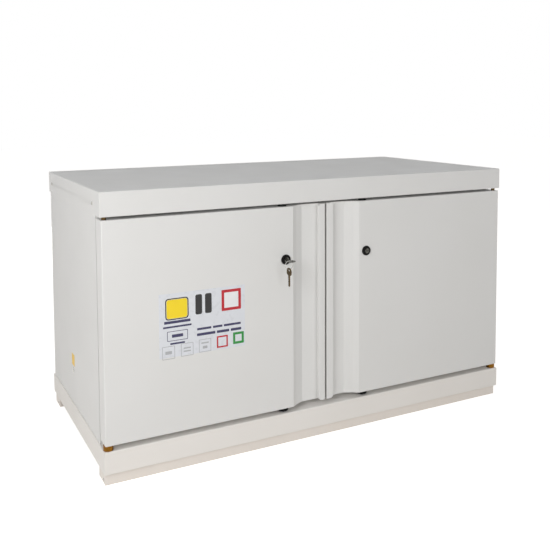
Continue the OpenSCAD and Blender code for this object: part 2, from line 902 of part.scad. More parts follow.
module door_core() {
    color(board) difference() {
        door_form(sheet, door_core_v);
        hinge_block_forms(0);
        post(guide_neck_r + core_gap, lock_u, rod_v, door_z0, door_z0 + guide_neck + core_gap);
        post(guide_neck_r + core_gap, lock_u, rod_v, door_z1 - guide_neck - core_gap, door_z1);
        post(rod_r + hole_gap, lock_u, rod_v, door_z0, door_z1);
        block(lock_u - lock_case_u, lock_u + lock_case_u, lock_case_v0, lock_case_v1,
              lock_z - lock_case_h, lock_z + lock_case_h);
        bar_back(barrel_r + hole_gap, lock_u, lock_z, 0, lock_case_v0 + past);
    }
}

module hinge_block_forms(bore_clear) {
    u1 = side_u - door_bend - hole_gap;
    for (low = [true, false]) {
        z0 = low ? door_z0 + sheet : door_z1 - sheet - hinge_block_h;
        difference() {
            block(pivot_u - hinge_block_u, u1, pivot_v - hinge_block_v + hole_gap,
                  pivot_v + hinge_block_v, z0, z0 + hinge_block_h);
            if (bore_clear > 0)
                post((low ? pin_r : top_pin_r) + bore_clear, pivot_u, pivot_v,
                     z0 - past, z0 + hinge_block_h + past);
        }
    }
}

module hinge_blocks() {
    color(galvanised) hinge_block_forms(run_clear);
}

module door_gasket() {
    u1 = gasket_u + gasket_w;
    color(seal_grey) difference() {
        block(door_u + sheet, u1, door_t, door_t + gasket_t, gasket_z0, gasket_z1);
        block(door_u, gasket_u, door_t - past, door_t + gasket_t + past,
              gasket_z0 + gasket_w, gasket_z1 - gasket_w);
    }
}

module edge_strip() {
    color(seal_grey)
        block(door_u - edge_strip_t, door_u, pivot_v, door_t - edge_strip_back,
              door_z0 + edge_strip_end, door_z1 - edge_strip_end);
}

module lock_rose() {
    dome = rose_t * rose_dome;
    color(black) translate([lock_u, -case_d / 2, lock_z]) rotate([90, 0, 0])
        rotate_extrude() polygon(concat(
            [[barrel_r + run_clear, 0], [rose_r, 0]],
            [for (a = [0:15:90]) [rose_r - dome + dome * cos(a), rose_t - dome + dome * sin(a)]],
            [[barrel_r + run_clear, rose_t]]
        ));
}

module lock_case() {
    color(galvanised) difference() {
        block(lock_u - lock_case_u, lock_u + lock_case_u, lock_case_v0, lock_case_v1,
              lock_z - lock_case_h, lock_z + lock_case_h);
        block(lock_u - lock_case_u + case_wall, lock_u + lock_case_u - case_wall,
              lock_case_v0 + case_wall, lock_case_v1 - case_wall,
              lock_z - lock_case_h + case_wall, lock_z + lock_case_h - case_wall);
        bar_back(barrel_r + run_clear, lock_u, lock_z, lock_case_v0 - past, pinion_v);
        bar_back(journal_r + run_clear, lock_u, lock_z, pinion_v, lock_case_v1 + past);
        post(rod_r + run_clear, lock_u, rod_v, lock_z - lock_case_h - past, lock_z + lock_case_h + past);
    }
}

module rod_guides() {
    color(black) difference() {
        union() {
            post(pad_r, lock_u, rod_v, door_z0 - pad_t, door_z0);
            post(guide_neck_r, lock_u, rod_v, door_z0 - past, door_z0 + guide_neck);
            post(pad_top_r, lock_u, rod_v, door_z1, door_z1 + pad_top_t);
            post(guide_neck_r, lock_u, rod_v, door_z1 - guide_neck, door_z1 + past);
        }
        post(rod_r + run_clear, lock_u, rod_v, door_z0 - pad_t - past, door_z1 + pad_top_t + past);
    }
}

module lock_barrel() {
    face_v = -rose_t - barrel_proud;
    color(steel) difference() {
        union() {
            bar_back(barrel_r, lock_u, lock_z, face_v, pinion_v);
            upright(pinion_v, pinion_v + pinion_t)
                translate([lock_u, lock_z]) pinion_outline();
            bar_back(journal_r, lock_u, lock_z, pinion_v, lock_case_v1);
        }
        block(lock_u - slot_w / 2, lock_u + slot_w / 2, face_v - past, blade_v + 1,
              lock_z - slot_t / 2, lock_z + slot_t / 2);
    }
}

// Rack on its foot: side is 1 for the lower rod and -1 for the upper one
module rack(side, phase) {
    foot_z = lock_z - side * (foot_gap + foot_h / 2);
    far_z = lock_z + side * rack_reach;
    z0 = min(foot_z - side * foot_h / 2, far_z);
    z1 = max(foot_z - side * foot_h / 2, far_z);
    upright(pinion_v, pinion_v + pinion_t)
        translate([lock_u + side * pitch_r, lock_z]) scale([side, 1])
            rack_outline(z0 - lock_z, z1 - lock_z, phase);
    far_u = side * (pitch_r + tooth_in + rack_body);
    block(lock_u + min(-side * rod_r / 2, far_u), lock_u + max(-side * rod_r / 2, far_u),
          rod_v, pinion_v + pinion_t, foot_z - foot_h / 2, foot_z + foot_h / 2);
}

module rod_lower() {
    color(galvanised) {
        post(rod_r, lock_u, rod_v, door_z0 - pad_t / 2, lock_z - foot_gap);
        rack(1, 0);
    }
}

module rod_upper() {
    color(galvanised) {
        post(rod_r, lock_u, rod_v, lock_z + foot_gap, door_z1 + pad_top_t);
        rack(-1, (pinion_teeth % 2) * tooth_pitch / 2);
    }
}

// ---- keys ----

// Key in plan: the end of the bow at y = 0, the blade towards +y
module key_outline() {
    difference() {
        union() {
            translate([0, bow_l / 2])
                polygon([
                    for (a = [0:10:350])
                        [bow_w / 2 * sign(cos(a)) * pow(abs(cos(a)), bow_power),
                         bow_l / 2 * sign(sin(a)) * pow(abs(sin(a)), bow_power)]
                ]);
            translate([-blade_w / 2, bow_l - blade_root])
                square([blade_w, key_l - blade_point - bow_l + blade_root]);
            polygon([[-blade_w / 2, key_l - blade_point], [blade_w / 2, key_l - blade_point],
                     [blade_tip, key_l], [-blade_tip, key_l]]);
        }
        translate([0, bow_hole_end]) circle(r = bow_hole_r);
        for (k = [0:3])
            translate([blade_w / 2, key_l - cut_first - cut_pitch * k]) rotate(45)
                square(cut_sides[k % 2], center = true);
    }
}

module key_left() {
    color(steel) on_left() translate([lock_u, -key_reach - case_d / 2, lock_z - key_t / 2])
        linear_extrude(key_t) key_outline();
}

module key_ring() {
    color(steel) on_left() translate([ring_u, ring_v - case_d / 2, ring_z]) rotate([90, 0, 0])
        rotate_extrude() translate([ring_mean, 0]) circle(r = ring_wire, $fn = 24);
}

// Hanging by its hole from the ring, its plate across the ring
module spare_key() {
    color(brass) on_left()
        translate([ring_u + key_t / 2, ring_v - case_d / 2, spare_hole_z + bow_hole_end])
            rotate([0, -90, 0]) linear_extrude(key_t) rotate(90) key_outline();
}

module door_label() {
    color(clear_film) on_left()
        block(label_u - label_w / 2, label_u + label_w / 2, -label_t, 0,
              label_z - label_h / 2, label_z + label_h / 2);
}

// ---- nodes ----

top_cover();
base_pan();
side_panel_left();
side_panel_right();
back_panel();
plinth_front();
plinth_rear();
front_frame();
frame_strips();
inner_liner();
liner_back();
side_boards();
top_board();
bottom_board();
back_board();
shelf();
shelf_rails();
shelf_clips();
spill_basin();
outlet_spigot();
inlet_spigot();
outlet_damper();
inlet_damper();
vent_grilles();
cover_screws();
plinth_rivets();
earth_stud();
earth_label();
hinge_plates();
hinge_pins();
hinge_bushes();
rod_keepers();
on_left() door_skin();  // door_skin_left
on_left() door_inner();  // door_inner_left
on_left() door_core();  // door_core_left
on_left() door_gasket();  // door_gasket_left
on_left() edge_strip();  // edge_strip_left
on_left() lock_rose();  // lock_rose_left
on_left() lock_case();  // lock_case_left
on_left() rod_guides();  // rod_guides_left
on_left() hinge_blocks();  // hinge_blocks_left
door_label();
on_left() lock_barrel();  // lock_barrel_left
on_left() rod_lower();  // rod_lower_left
on_left() rod_upper();  // rod_upper_left
key_left();
key_ring();
spare_key();
door_skin();  // door_skin_right
door_inner();  // door_inner_right
door_core();  // door_core_right
door_gasket();  // door_gasket_right
edge_strip();  // edge_strip_right
lock_rose();  // lock_rose_right
lock_case();  // lock_case_right
rod_guides();  // rod_guides_right
hinge_blocks();  // hinge_blocks_right
lock_barrel();  // lock_barrel_right
rod_lower();  // rod_lower_right
rod_upper();  // rod_upper_right
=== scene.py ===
# Looks of the under-bench cabinet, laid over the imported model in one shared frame, in metres.
import bmesh
import bpy
import json
import math
from mathutils import Matrix, Vector


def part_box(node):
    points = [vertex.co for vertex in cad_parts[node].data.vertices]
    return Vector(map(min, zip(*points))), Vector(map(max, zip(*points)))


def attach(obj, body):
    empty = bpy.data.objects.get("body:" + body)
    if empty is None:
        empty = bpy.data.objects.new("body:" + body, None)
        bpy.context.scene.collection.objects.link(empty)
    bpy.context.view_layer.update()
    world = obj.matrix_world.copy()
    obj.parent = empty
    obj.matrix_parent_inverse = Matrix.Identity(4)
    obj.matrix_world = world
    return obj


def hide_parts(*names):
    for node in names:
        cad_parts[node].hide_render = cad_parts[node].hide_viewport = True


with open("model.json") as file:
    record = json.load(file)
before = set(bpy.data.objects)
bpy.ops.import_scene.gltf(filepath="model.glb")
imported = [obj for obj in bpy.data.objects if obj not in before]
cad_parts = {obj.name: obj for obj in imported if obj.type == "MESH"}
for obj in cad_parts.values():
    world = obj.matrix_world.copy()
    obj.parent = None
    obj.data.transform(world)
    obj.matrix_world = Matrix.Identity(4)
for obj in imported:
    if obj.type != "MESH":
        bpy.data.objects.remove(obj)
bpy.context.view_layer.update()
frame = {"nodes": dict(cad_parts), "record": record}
MM = 0.001
NODES = frame["nodes"]
SLOT_OF_NODE = {
    part["node"]: part["material_slot"]
    for part in frame["record"]["subparts"]
}


# ---- camera ----

CAMERA_AT = (-0.932, -1.810, 0.814)
CAMERA_YAW = math.radians(27.22)
CAMERA_DOWN = math.radians(3.89)
CAMERA_ROLL = math.radians(-0.30)
CAMERA_LENS = 49.20
CAMERA_SENSOR = 36.0
CAMERA_SHIFT = -0.22


def add_camera():
    data = bpy.data.cameras.new("photo_camera")
    data.lens = CAMERA_LENS
    data.sensor_width = CAMERA_SENSOR
    data.shift_y = CAMERA_SHIFT
    data.clip_start = 0.05
    camera = bpy.data.objects.new("photo_camera", data)
    bpy.context.scene.collection.objects.link(camera)
    ahead = Vector((
        math.sin(CAMERA_YAW) * math.cos(CAMERA_DOWN),
        math.cos(CAMERA_YAW) * math.cos(CAMERA_DOWN),
        -math.sin(CAMERA_DOWN),
    ))
    turn = ahead.to_track_quat("-Z", "Y").to_matrix().to_4x4()
    camera.matrix_world = (
        Matrix.Translation(CAMERA_AT) @ turn @ Matrix.Rotation(CAMERA_ROLL, 4, "Z")
    )
    bpy.context.scene.camera = camera


# ---- node groups ----

def group(name, inputs, outputs):
    tree = bpy.data.node_groups.new(name, "ShaderNodeTree")
    for label, kind, value in inputs:
        socket = tree.interface.new_socket(
            name=label, in_out="INPUT", socket_type="NodeSocket" + kind
        )
        socket.default_value = value
    for label, kind in outputs:
        tree.interface.new_socket(
            name=label, in_out="OUTPUT", socket_type="NodeSocket" + kind
        )
    return tree, tree.nodes.new("NodeGroupInput"), tree.nodes.new("NodeGroupOutput")


def node(tree, kind, settings=(), **values):
    made = tree.nodes.new(kind)
    for name, value in dict(settings).items():
        setattr(made, name, value)
    for name, value in values.items():
        made.inputs[name.replace("_", " ")].default_value = value
    return made


def math_node(tree, operation, a, b):
    made = tree.nodes.new("ShaderNodeMath")
    made.operation = operation
    for socket, value in zip(made.inputs, (a, b)):
        if isinstance(value, (int, float)):
            socket.default_value = value
        else:
            tree.links.new(value, socket)
    return made.outputs[0]


def noise(tree, place, scale, detail=2.0):
    made = node(tree, "ShaderNodeTexNoise", Detail=detail)
    if isinstance(scale, (int, float)):
        made.inputs["Scale"].default_value = scale
    else:
        tree.links.new(scale, made.inputs["Scale"])
    tree.links.new(place, made.inputs["Vector"])
    return made.outputs["Fac"]


def object_place(tree):
    return tree.nodes.new("ShaderNodeTexCoord").outputs["Object"]


NOISE_LOW = 0.3
NOISE_HIGH = 0.7


def spread(tree, value, low, high):
    """Noise, which seldom leaves NOISE_LOW to NOISE_HIGH, moved to run from low to high."""
    made = node(tree, "ShaderNodeMapRange")
    made.inputs["From Min"].default_value = NOISE_LOW
    made.inputs["From Max"].default_value = NOISE_HIGH
    for name, end in (("To Min", low), ("To Max", high)):
        if isinstance(end, (int, float)):
            made.inputs[name].default_value = end
        else:
            tree.links.new(end, made.inputs[name])
    tree.links.new(value, made.inputs["Value"])
    return made.outputs["Result"]


def mix_colour(tree, mask, a, b):
    made = node(tree, "ShaderNodeMix", {"data_type": "RGBA"})
    tree.links.new(mask, made.inputs["Factor"])
    for socket, value in ((made.inputs[6], a), (made.inputs[7], b)):
        if isinstance(value, tuple):
            socket.default_value = value
        else:
            tree.links.new(value, socket)
    return made.outputs[2]


def orange_peel_group():
    """Powder coat skin: fine ripples on slow waves of the sheet, as a height in metres."""
    tree, start, end = group(
        "orange_peel",
        [("Ripple", "Float", 3e-6), ("Ripple Scale", "Float", 700.0), ("Wave", "Float", 3e-5)],
        [("Height", "Float")],
    )
    place = object_place(tree)
    ripple = math_node(
        tree, "MULTIPLY", noise(tree, place, start.outputs["Ripple Scale"]),
        start.outputs["Ripple"],
    )
    wave = math_node(tree, "MULTIPLY", noise(tree, place, 7.0, 1.0), start.outputs["Wave"])
    tree.links.new(math_node(tree, "ADD", ripple, wave), end.inputs["Height"])
    return tree


def tone_group():
    """Two tones of one finish in soft patches, and a second scale of finer specks."""
    tree, start, end = group(
        "two_tone",
        [("Colour", "Color", (1, 1, 1, 1)), ("Second Colour", "Color", (0, 0, 0, 1)),
         ("Amount", "Float", 0.5), ("Patch Scale", "Float", 5.0),
         ("Speck Scale", "Float", 250.0), ("Speck Amount", "Float", 0.1)],
        [("Colour", "Color"), ("Mask", "Float")],
    )
    place = object_place(tree)
    patch = spread(tree, noise(tree, place, start.outputs["Patch Scale"]), 0.0, 1.0)
    speck = spread(tree, noise(tree, place, start.outputs["Speck Scale"]), 0.0, 1.0)
    mask = math_node(
        tree, "ADD", math_node(tree, "MULTIPLY", patch, start.outputs["Amount"]),
        math_node(tree, "MULTIPLY", speck, start.outputs["Speck Amount"]),
    )
    colour = mix_colour(tree, mask, start.outputs["Colour"], start.outputs["Second Colour"])
    tree.links.new(colour, end.inputs["Colour"])
    tree.links.new(mask, end.inputs["Mask"])
    return tree


def sheen_group():
    """Roughness that wanders between two values, as wiping and handling leave it."""
    tree, start, end = group(
        "wiped_sheen",
        [("Low", "Float", 0.3), ("High", "Float", 0.4), ("Scale", "Float", 12.0)],
        [("Roughness", "Float")],
    )
    wiped = noise(tree, object_place(tree), start.outputs["Scale"], 4.0)
    result = spread(tree, wiped, start.outputs["Low"], start.outputs["High"])
    tree.links.new(result, end.inputs["Roughness"])
    return tree


def grain_group():
    """Fine parallel scratches, stretched along one axis by the scale vector."""
    tree, start, end = group(
        "metal_grain",
        [("Stretch", "Vector", (2000.0, 60.0, 2000.0)), ("Low", "Float", 0.2),
         ("High", "Float", 0.4), ("Depth", "Float", 2e-6)],
        [("Roughness", "Float"), ("Height", "Float")],
    )
    scaled = node(tree, "ShaderNodeVectorMath", {"operation": "MULTIPLY"})
    tree.links.new(object_place(tree), scaled.inputs[0])
    tree.links.new(start.outputs["Stretch"], scaled.inputs[1])
    lines = noise(tree, scaled.outputs[0], 1.0, 3.0)
    rough = spread(tree, lines, start.outputs["Low"], start.outputs["High"])
    tree.links.new(rough, end.inputs["Roughness"])
    tree.links.new(math_node(tree, "MULTIPLY", lines, start.outputs["Depth"]), end.inputs["Height"])
    return tree


def spangle_group():
    """Zinc spangle: flat crystals that differ a little in tone and gloss."""
    tree, start, end = group(
        "zinc_spangle",
        [("Colour", "Color", (1, 1, 1, 1)), ("Dark Colour", "Color", (0, 0, 0, 1)),
         ("Crystal Scale", "Float", 120.0), ("Low", "Float", 0.35), ("High", "Float", 0.5)],
        [("Colour", "Color"), ("Roughness", "Float")],
    )
    place = object_place(tree)
    bent = node(tree, "ShaderNodeVectorMath", {"operation": "ADD"})
    wobble = node(tree, "ShaderNodeTexNoise", Scale=300.0)
    weak = node(tree, "ShaderNodeVectorMath", {"operation": "SCALE"}, Scale=0.004)
    tree.links.new(place, wobble.inputs["Vector"])
    tree.links.new(wobble.outputs["Color"], weak.inputs[0])
    tree.links.new(place, bent.inputs[0])
    tree.links.new(weak.outputs[0], bent.inputs[1])
    crystals = node(tree, "ShaderNodeTexVoronoi")
    tree.links.new(bent.outputs[0], crystals.inputs["Vector"])
    tree.links.new(start.outputs["Crystal Scale"], crystals.inputs["Scale"])
    parts = node(tree, "ShaderNodeSeparateColor")
    tree.links.new(crystals.outputs["Color"], parts.inputs[0])
    colour = mix_colour(
        tree, parts.outputs[0], start.outputs["Colour"], start.outputs["Dark Colour"]
    )
    tree.links.new(colour, end.inputs["Colour"])
    rough = spread(tree, parts.outputs[1], start.outputs["Low"], start.outputs["High"])
    tree.links.new(rough, end.inputs["Roughness"])
    return tree


def rubbed_edge_group():
    """Mask that is 1 where an edge, inner or outer alike, is rubbed bright."""
    tree, start, end = group(
        "rubbed_edge",
        [("Width", "Float", 0.0005), ("Break Scale", "Float", 900.0)],
        [("Mask", "Float")],
    )
    soft = node(tree, "ShaderNodeBevel", {"samples": 4})
    tree.links.new(start.outputs["Width"], soft.inputs["Radius"])
    facing = node(tree, "ShaderNodeNewGeometry")
    meet = node(tree, "ShaderNodeVectorMath", {"operation": "DOT_PRODUCT"})
    tree.links.new(soft.outputs["Normal"], meet.inputs[0])
    tree.links.new(facing.outputs["Normal"], meet.inputs[1])
    edge = node(tree, "ShaderNodeMapRange")
    edge.inputs["From Min"].default_value = 0.98
    edge.inputs["From Max"].default_value = 0.85
    tree.links.new(meet.outputs["Value"], edge.inputs["Value"])
    broken = spread(tree, noise(tree, object_place(tree), start.outputs["Break Scale"]), 0.3, 1.0)
    tree.links.new(
        math_node(tree, "MULTIPLY", edge.outputs["Result"], broken), end.inputs["Mask"]
    )
    return tree


ORANGE_PEEL = orange_peel_group()
TWO_TONE = tone_group()
WIPED_SHEEN = sheen_group()
METAL_GRAIN = grain_group()
ZINC_SPANGLE = spangle_group()
RUBBED_EDGE = rubbed_edge_group()


def place_group(tree, made_from, **values):
    made = node(tree, "ShaderNodeGroup")
    made.node_tree = made_from
    for name, value in values.items():
        made.inputs[name.replace("_", " ")].default_value = value
    return made


# ---- materials ----

def srgb(red, green, blue):
    """Colour written as on a screen, 0 to 255, for a shader socket."""
    linear = [
        c / 12.92 if c <= 0.04045 else ((c + 0.055) / 1.055) ** 2.4
        for c in (red / 255, green / 255, blue / 255)
    ]
    return (*linear, 1.0)


def new_material(name, colour, roughness, **values):
    made = bpy.data.materials.new(name)
    made.use_nodes = True
    tree = made.node_tree
    shader = tree.nodes["Principled BSDF"]
    shader.inputs["Base Color"].default_value = colour
    shader.inputs["Roughness"].default_value = roughness
    for socket, value in values.items():
        shader.inputs[socket.replace("_", " ")].default_value = value
    return made, tree, shader


def join_bump(tree, shader, height):
    bump = node(tree, "ShaderNodeBump", Strength=1.0, Distance=1.0)
    tree.links.new(height, bump.inputs["Height"])
    tree.links.new(bump.outputs["Normal"], shader.inputs["Normal"])


def powder_coat(name, colour, second, gloss=(0.4, 0.5), amount=0.5):
    made, tree, shader = new_material(name, colour, 0.45, Specular_IOR_Level=0.32)
    tone = place_group(
        tree, TWO_TONE, Colour=colour, Second_Colour=second, Amount=amount,
        Patch_Scale=4.0, Speck_Scale=900.0, Speck_Amount=0.12,
    )
    sheen = place_group(tree, WIPED_SHEEN, Low=gloss[0], High=gloss[1], Scale=14.0)
    peel = place_group(tree, ORANGE_PEEL)
    tree.links.new(tone.outputs["Colour"], shader.inputs["Base Color"])
    tree.links.new(sheen.outputs["Roughness"], shader.inputs["Roughness"])
    join_bump(tree, shader, peel.outputs["Height"])
    return made


def bright_metal(name, colour, worn, stretch, gloss=(0.18, 0.34), edge=0.0006, tarnish=0.35):
    made, tree, shader = new_material(name, colour, 0.25, Metallic=1.0)
    tone = place_group(
        tree, TWO_TONE, Colour=colour, Second_Colour=worn, Amount=tarnish,
        Patch_Scale=260.0, Speck_Scale=1800.0, Speck_Amount=0.15,
    )
    rubbed = place_group(tree, RUBBED_EDGE, Width=edge)
    lighter = tuple(min(1.0, c * 1.25) for c in colour[:3]) + (1.0,)
    tree.links.new(
        mix_colour(tree, rubbed.outputs["Mask"], tone.outputs["Colour"], lighter),
        shader.inputs["Base Color"],
    )
    grain = place_group(tree, METAL_GRAIN, Stretch=stretch, Low=gloss[0], High=gloss[1])
    tree.links.new(grain.outputs["Roughness"], shader.inputs["Roughness"])
    join_bump(tree, shader, grain.outputs["Height"])
    return made


def zinc(name, colour, dark):
    made, tree, shader = new_material(name, colour, 0.45, Metallic=1.0)
    spangle = place_group(tree, ZINC_SPANGLE, Colour=colour, Dark_Colour=dark)
    tree.links.new(spangle.outputs["Colour"], shader.inputs["Base Color"])
    tree.links.new(spangle.outputs["Roughness"], shader.inputs["Roughness"])
    peel = place_group(tree, ORANGE_PEEL, Ripple=2e-6, Ripple_Scale=1500.0, Wave=1e-5)
    join_bump(tree, shader, peel.outputs["Height"])
    return made


def moulded(
    name, colour, second, gloss, ripple=4e-6, ripple_scale=1600.0, edge=0.0008, shine=0.4
):
    """Moulded plastic, rubber or pressed board, by its gloss and the depth of its skin."""
    made, tree, shader = new_material(name, colour, 0.5, Specular_IOR_Level=shine)
    tone = place_group(
        tree, TWO_TONE, Colour=colour, Second_Colour=second, Amount=0.35,
        Patch_Scale=60.0, Speck_Scale=1200.0, Speck_Amount=0.25,
    )
    rubbed = place_group(tree, RUBBED_EDGE, Width=edge)
    tree.links.new(
        mix_colour(tree, rubbed.outputs["Mask"], tone.outputs["Colour"], second),
        shader.inputs["Base Color"],
    )
    sheen = place_group(tree, WIPED_SHEEN, Low=gloss[0], High=gloss[1], Scale=120.0)
    tree.links.new(sheen.outputs["Roughness"], shader.inputs["Roughness"])
    peel = place_group(
        tree, ORANGE_PEEL, Ripple=ripple, Ripple_Scale=ripple_scale, Wave=0.0
    )
    join_bump(tree, shader, peel.outputs["Height"])
    return made


def printed(name, colour, roughness=0.34):
    """Ink or clear film on a label: nearly even, with a faint mottle."""
    made, tree, shader = new_material(name, colour, roughness)
    faded = tuple(min(1.0, c * 1.12 + 0.012) for c in colour[:3]) + (1.0,)
    tone = place_group(
        tree, TWO_TONE, Colour=colour, Second_Colour=faded, Amount=0.25,
        Patch_Scale=45.0, Speck_Scale=1500.0, Speck_Amount=0.1,
    )
    tree.links.new(tone.outputs["Colour"], shader.inputs["Base Color"])
    sheen = place_group(
        tree, WIPED_SHEEN, Low=roughness - 0.06, High=roughness + 0.06, Scale=90.0
    )
    tree.links.new(sheen.outputs["Roughness"], shader.inputs["Roughness"])
    return made


ALONG_Y = (1800.0, 70.0, 1800.0)
ALONG_Z = (1800.0, 1800.0, 70.0)
SLOT_MATERIALS = {
    "paint": powder_coat("cabinet_white", srgb(231, 231, 230), srgb(227, 227, 225)),
    # Plinth paint: lighter and warmer than the cabinet white. This is painted light standing in for
    # warm bounce from the floor onto the shaded plinth.
    "plinth_paint": powder_coat("plinth_white_painted_bounce", srgb(238, 232, 226), srgb(232, 225, 217)),
    "galvanised": zinc("zinc_plate", srgb(196, 200, 202), srgb(160, 165, 168)),
    "steel": bright_metal("bright_nickel", srgb(200, 199, 196), srgb(150, 147, 140), ALONG_Y),
    "brass": bright_metal(
        "worn_brass", srgb(142, 98, 34), srgb(74, 48, 18), ALONG_Z, tarnish=0.6
    ),
    "board": moulded(
        "fibre_board", srgb(226, 220, 204), srgb(204, 196, 178), (0.8, 0.95), 2e-5, 500.0
    ),
    "black_plastic": moulded(
        "black_moulding", srgb(9, 9, 10), srgb(24, 23, 22), (0.36, 0.5), shine=0.1
    ),
    "seal": moulded("grey_seal", srgb(88, 87, 80), srgb(112, 110, 100), (0.6, 0.8)),
    "label_film": printed("clear_film", srgb(222, 225, 231), 0.3),
    "yellow_label": printed("yellow_film", srgb(238, 194, 34), 0.42),
}
# Pan paint: a lighter, warmer copy of the cabinet white. This is painted light that brightens the
# pan and the shaded strip of its top under the doors.
PAN_PAINTED_LIGHT_WHITE = powder_coat("pan_painted_light_white", srgb(241, 238, 234), srgb(237, 233, 228))
STEEL_ALONG_X = bright_metal(
    "screw_nickel", srgb(186, 184, 180), srgb(120, 117, 110), (70.0, 1800.0, 1800.0)
)
KEY_BRASS = bright_metal(
    "key_brass", srgb(112, 94, 64), srgb(58, 44, 26), ALONG_Z, tarnish=0.7
)
LOCK_NICKEL = bright_metal(
    "lock_nickel", srgb(104, 104, 99), srgb(52, 50, 45), ALONG_Y, tarnish=0.7
)
OILED_STEEL = bright_metal(
    "oiled_steel", srgb(104, 84, 54), srgb(58, 44, 28), ALONG_Z, tarnish=0.6
)
NODE_MATERIALS = {
    "base_pan": PAN_PAINTED_LIGHT_WHITE,
    "hinge_pins": OILED_STEEL,
    "lock_barrel_left": LOCK_NICKEL,
    "lock_barrel_right": LOCK_NICKEL,
}
INKS = {
    "black": printed("black_ink", srgb(24, 23, 26)),
    "navy": printed("navy_ink", srgb(52, 50, 88)),
    "red": printed("red_ink", srgb(186, 22, 38)),
    "green": printed("green_ink", srgb(36, 140, 56)),
    "yellow": printed("yellow_ink", srgb(250, 218, 32)),
    "grey": printed("grey_ink", srgb(176, 178, 182)),
    "white": printed("white_ink", srgb(238, 238, 240)),
}


# ---- making pieces ----

def add_object(name, data, body, material):
    made = bpy.data.objects.new(name, data)
    bpy.context.scene.collection.objects.link(made)
    if material:
        made.data.materials.append(material)
    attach(made, body)
    return made


def shade(mesh, degrees=35.0):
    for face in mesh.polygons:
        face.use_smooth = True
    mesh.set_sharp_from_angle(angle=math.radians(degrees))


SAME_POINT = 1e-7


def join_points(mesh):
    """Joins points that lie on each other and turns all faces outwards."""
    work = bmesh.new()
    work.from_mesh(mesh)
    bmesh.ops.remove_doubles(work, verts=work.verts, dist=SAME_POINT)
    bmesh.ops.recalc_face_normals(work, faces=work.faces)
    work.to_mesh(mesh)
    work.free()


def mesh_from(vertices, faces):
    mesh = bpy.data.meshes.new("shape")
    mesh.from_pydata([tuple(v) for v in vertices], [], faces)
    join_points(mesh)
    return mesh


def turned(profile, centre, axis, steps=40):
    """Mesh turned from (radius, height) points about an axis through centre."""
    turn = Vector(axis).to_track_quat("Z", "Y").to_matrix()
    centre = Vector(centre)
    rings = []
    vertices = []
    for radius, height in profile:
        if radius == 0:
            rings.append([len(vertices)] * steps)
            vertices.append(centre + turn @ Vector((0, 0, height)))
            continue
        rings.append(list(range(len(vertices), len(vertices) + steps)))
        for k in range(steps):
            a = math.tau * k / steps
            vertices.append(
                centre + turn @ Vector((radius * math.cos(a), radius * math.sin(a), height))
            )
    faces = []
    for low, high in zip(rings, rings[1:]):
        for k in range(steps):
            j = (k + 1) % steps
            face = list(dict.fromkeys((low[k], low[j], high[j], high[k])))
            if len(face) > 2:
                faces.append(face)
    return mesh_from(vertices, faces)


def swept(rings, closed):
    """Mesh through equal rings of points, joined end to end or capped."""
    vertices = [point for ring in rings for point in ring]
    size = len(rings[0])
    faces = []
    count = len(rings)
    for i in range(count if closed else count - 1):
        j = (i + 1) % count
        for k in range(size):
            m = (k + 1) % size
            faces.append((i * size + k, i * size + m, j * size + m, j * size + k))
    if not closed:
        faces.append(tuple(range(size)))
        faces.append(tuple((count - 1) * size + k for k in range(size)))
    return mesh_from(vertices, faces)


def evaluated_mesh(made):
    bpy.context.view_layer.update()
    graph = bpy.context.evaluated_depsgraph_get()
    return bpy.data.meshes.new_from_object(made.evaluated_get(graph))


def plate(outlines, thickness, edge, turn):
    """Mesh of a flat plate with holes and softened edges, turned into place."""
    curve = bpy.data.curves.new("outline", "CURVE")
    curve.dimensions = "2D"
    curve.fill_mode = "BOTH"
    curve.extrude = thickness / 2 - edge
    curve.bevel_depth = edge
    curve.offset = -edge
    curve.bevel_resolution = 2
    for outline in outlines:
        spline = curve.splines.new("POLY")
        spline.points.add(len(outline) - 1)
        for point, (x, y) in zip(spline.points, outline):
            point.co = (x, y, 0, 1)
        spline.use_cyclic_u = True
    holder = bpy.data.objects.new("outline", curve)
    bpy.context.scene.collection.objects.link(holder)
    mesh = evaluated_mesh(holder)
    bpy.data.objects.remove(holder)
    bpy.data.curves.remove(curve)
    mesh.transform(turn)
    join_points(mesh)
    mesh.materials.clear()
    return mesh


def cut(mesh, cutters):
    """The mesh less the cutter meshes."""
    scene = bpy.context.scene.collection
    body = bpy.data.objects.new("blank", mesh)
    scene.objects.link(body)
    tools = []
    for cutter in cutters:
        tool = bpy.data.objects.new("cutter", cutter)
        scene.objects.link(tool)
        tools.append(tool)
        step = body.modifiers.new("cut", "BOOLEAN")
        step.operation = "DIFFERENCE"
        step.solver = "EXACT"
        step.object = tool
    result = evaluated_mesh(body)
    for used in [body, *tools]:
        bpy.data.objects.remove(used)
    return result


def join_meshes(meshes):
    work = bmesh.new()
    for mesh in meshes:
        work.from_mesh(mesh)
    joined = bpy.data.meshes.new("joined")
    work.to_mesh(joined)
    work.free()
    return joined


# ---- CAD pieces: finish and softened edges ----

EDGE_SOFT = 0.45 * MM
EDGE_ANGLE = math.radians(40)
WELD_REACH = 2e-6
# Nodes whose edges are too small, or too near each other, to be softened
SHARP_NODES = {"door_label", "earth_label", "lock_barrel_left", "lock_barrel_right"}


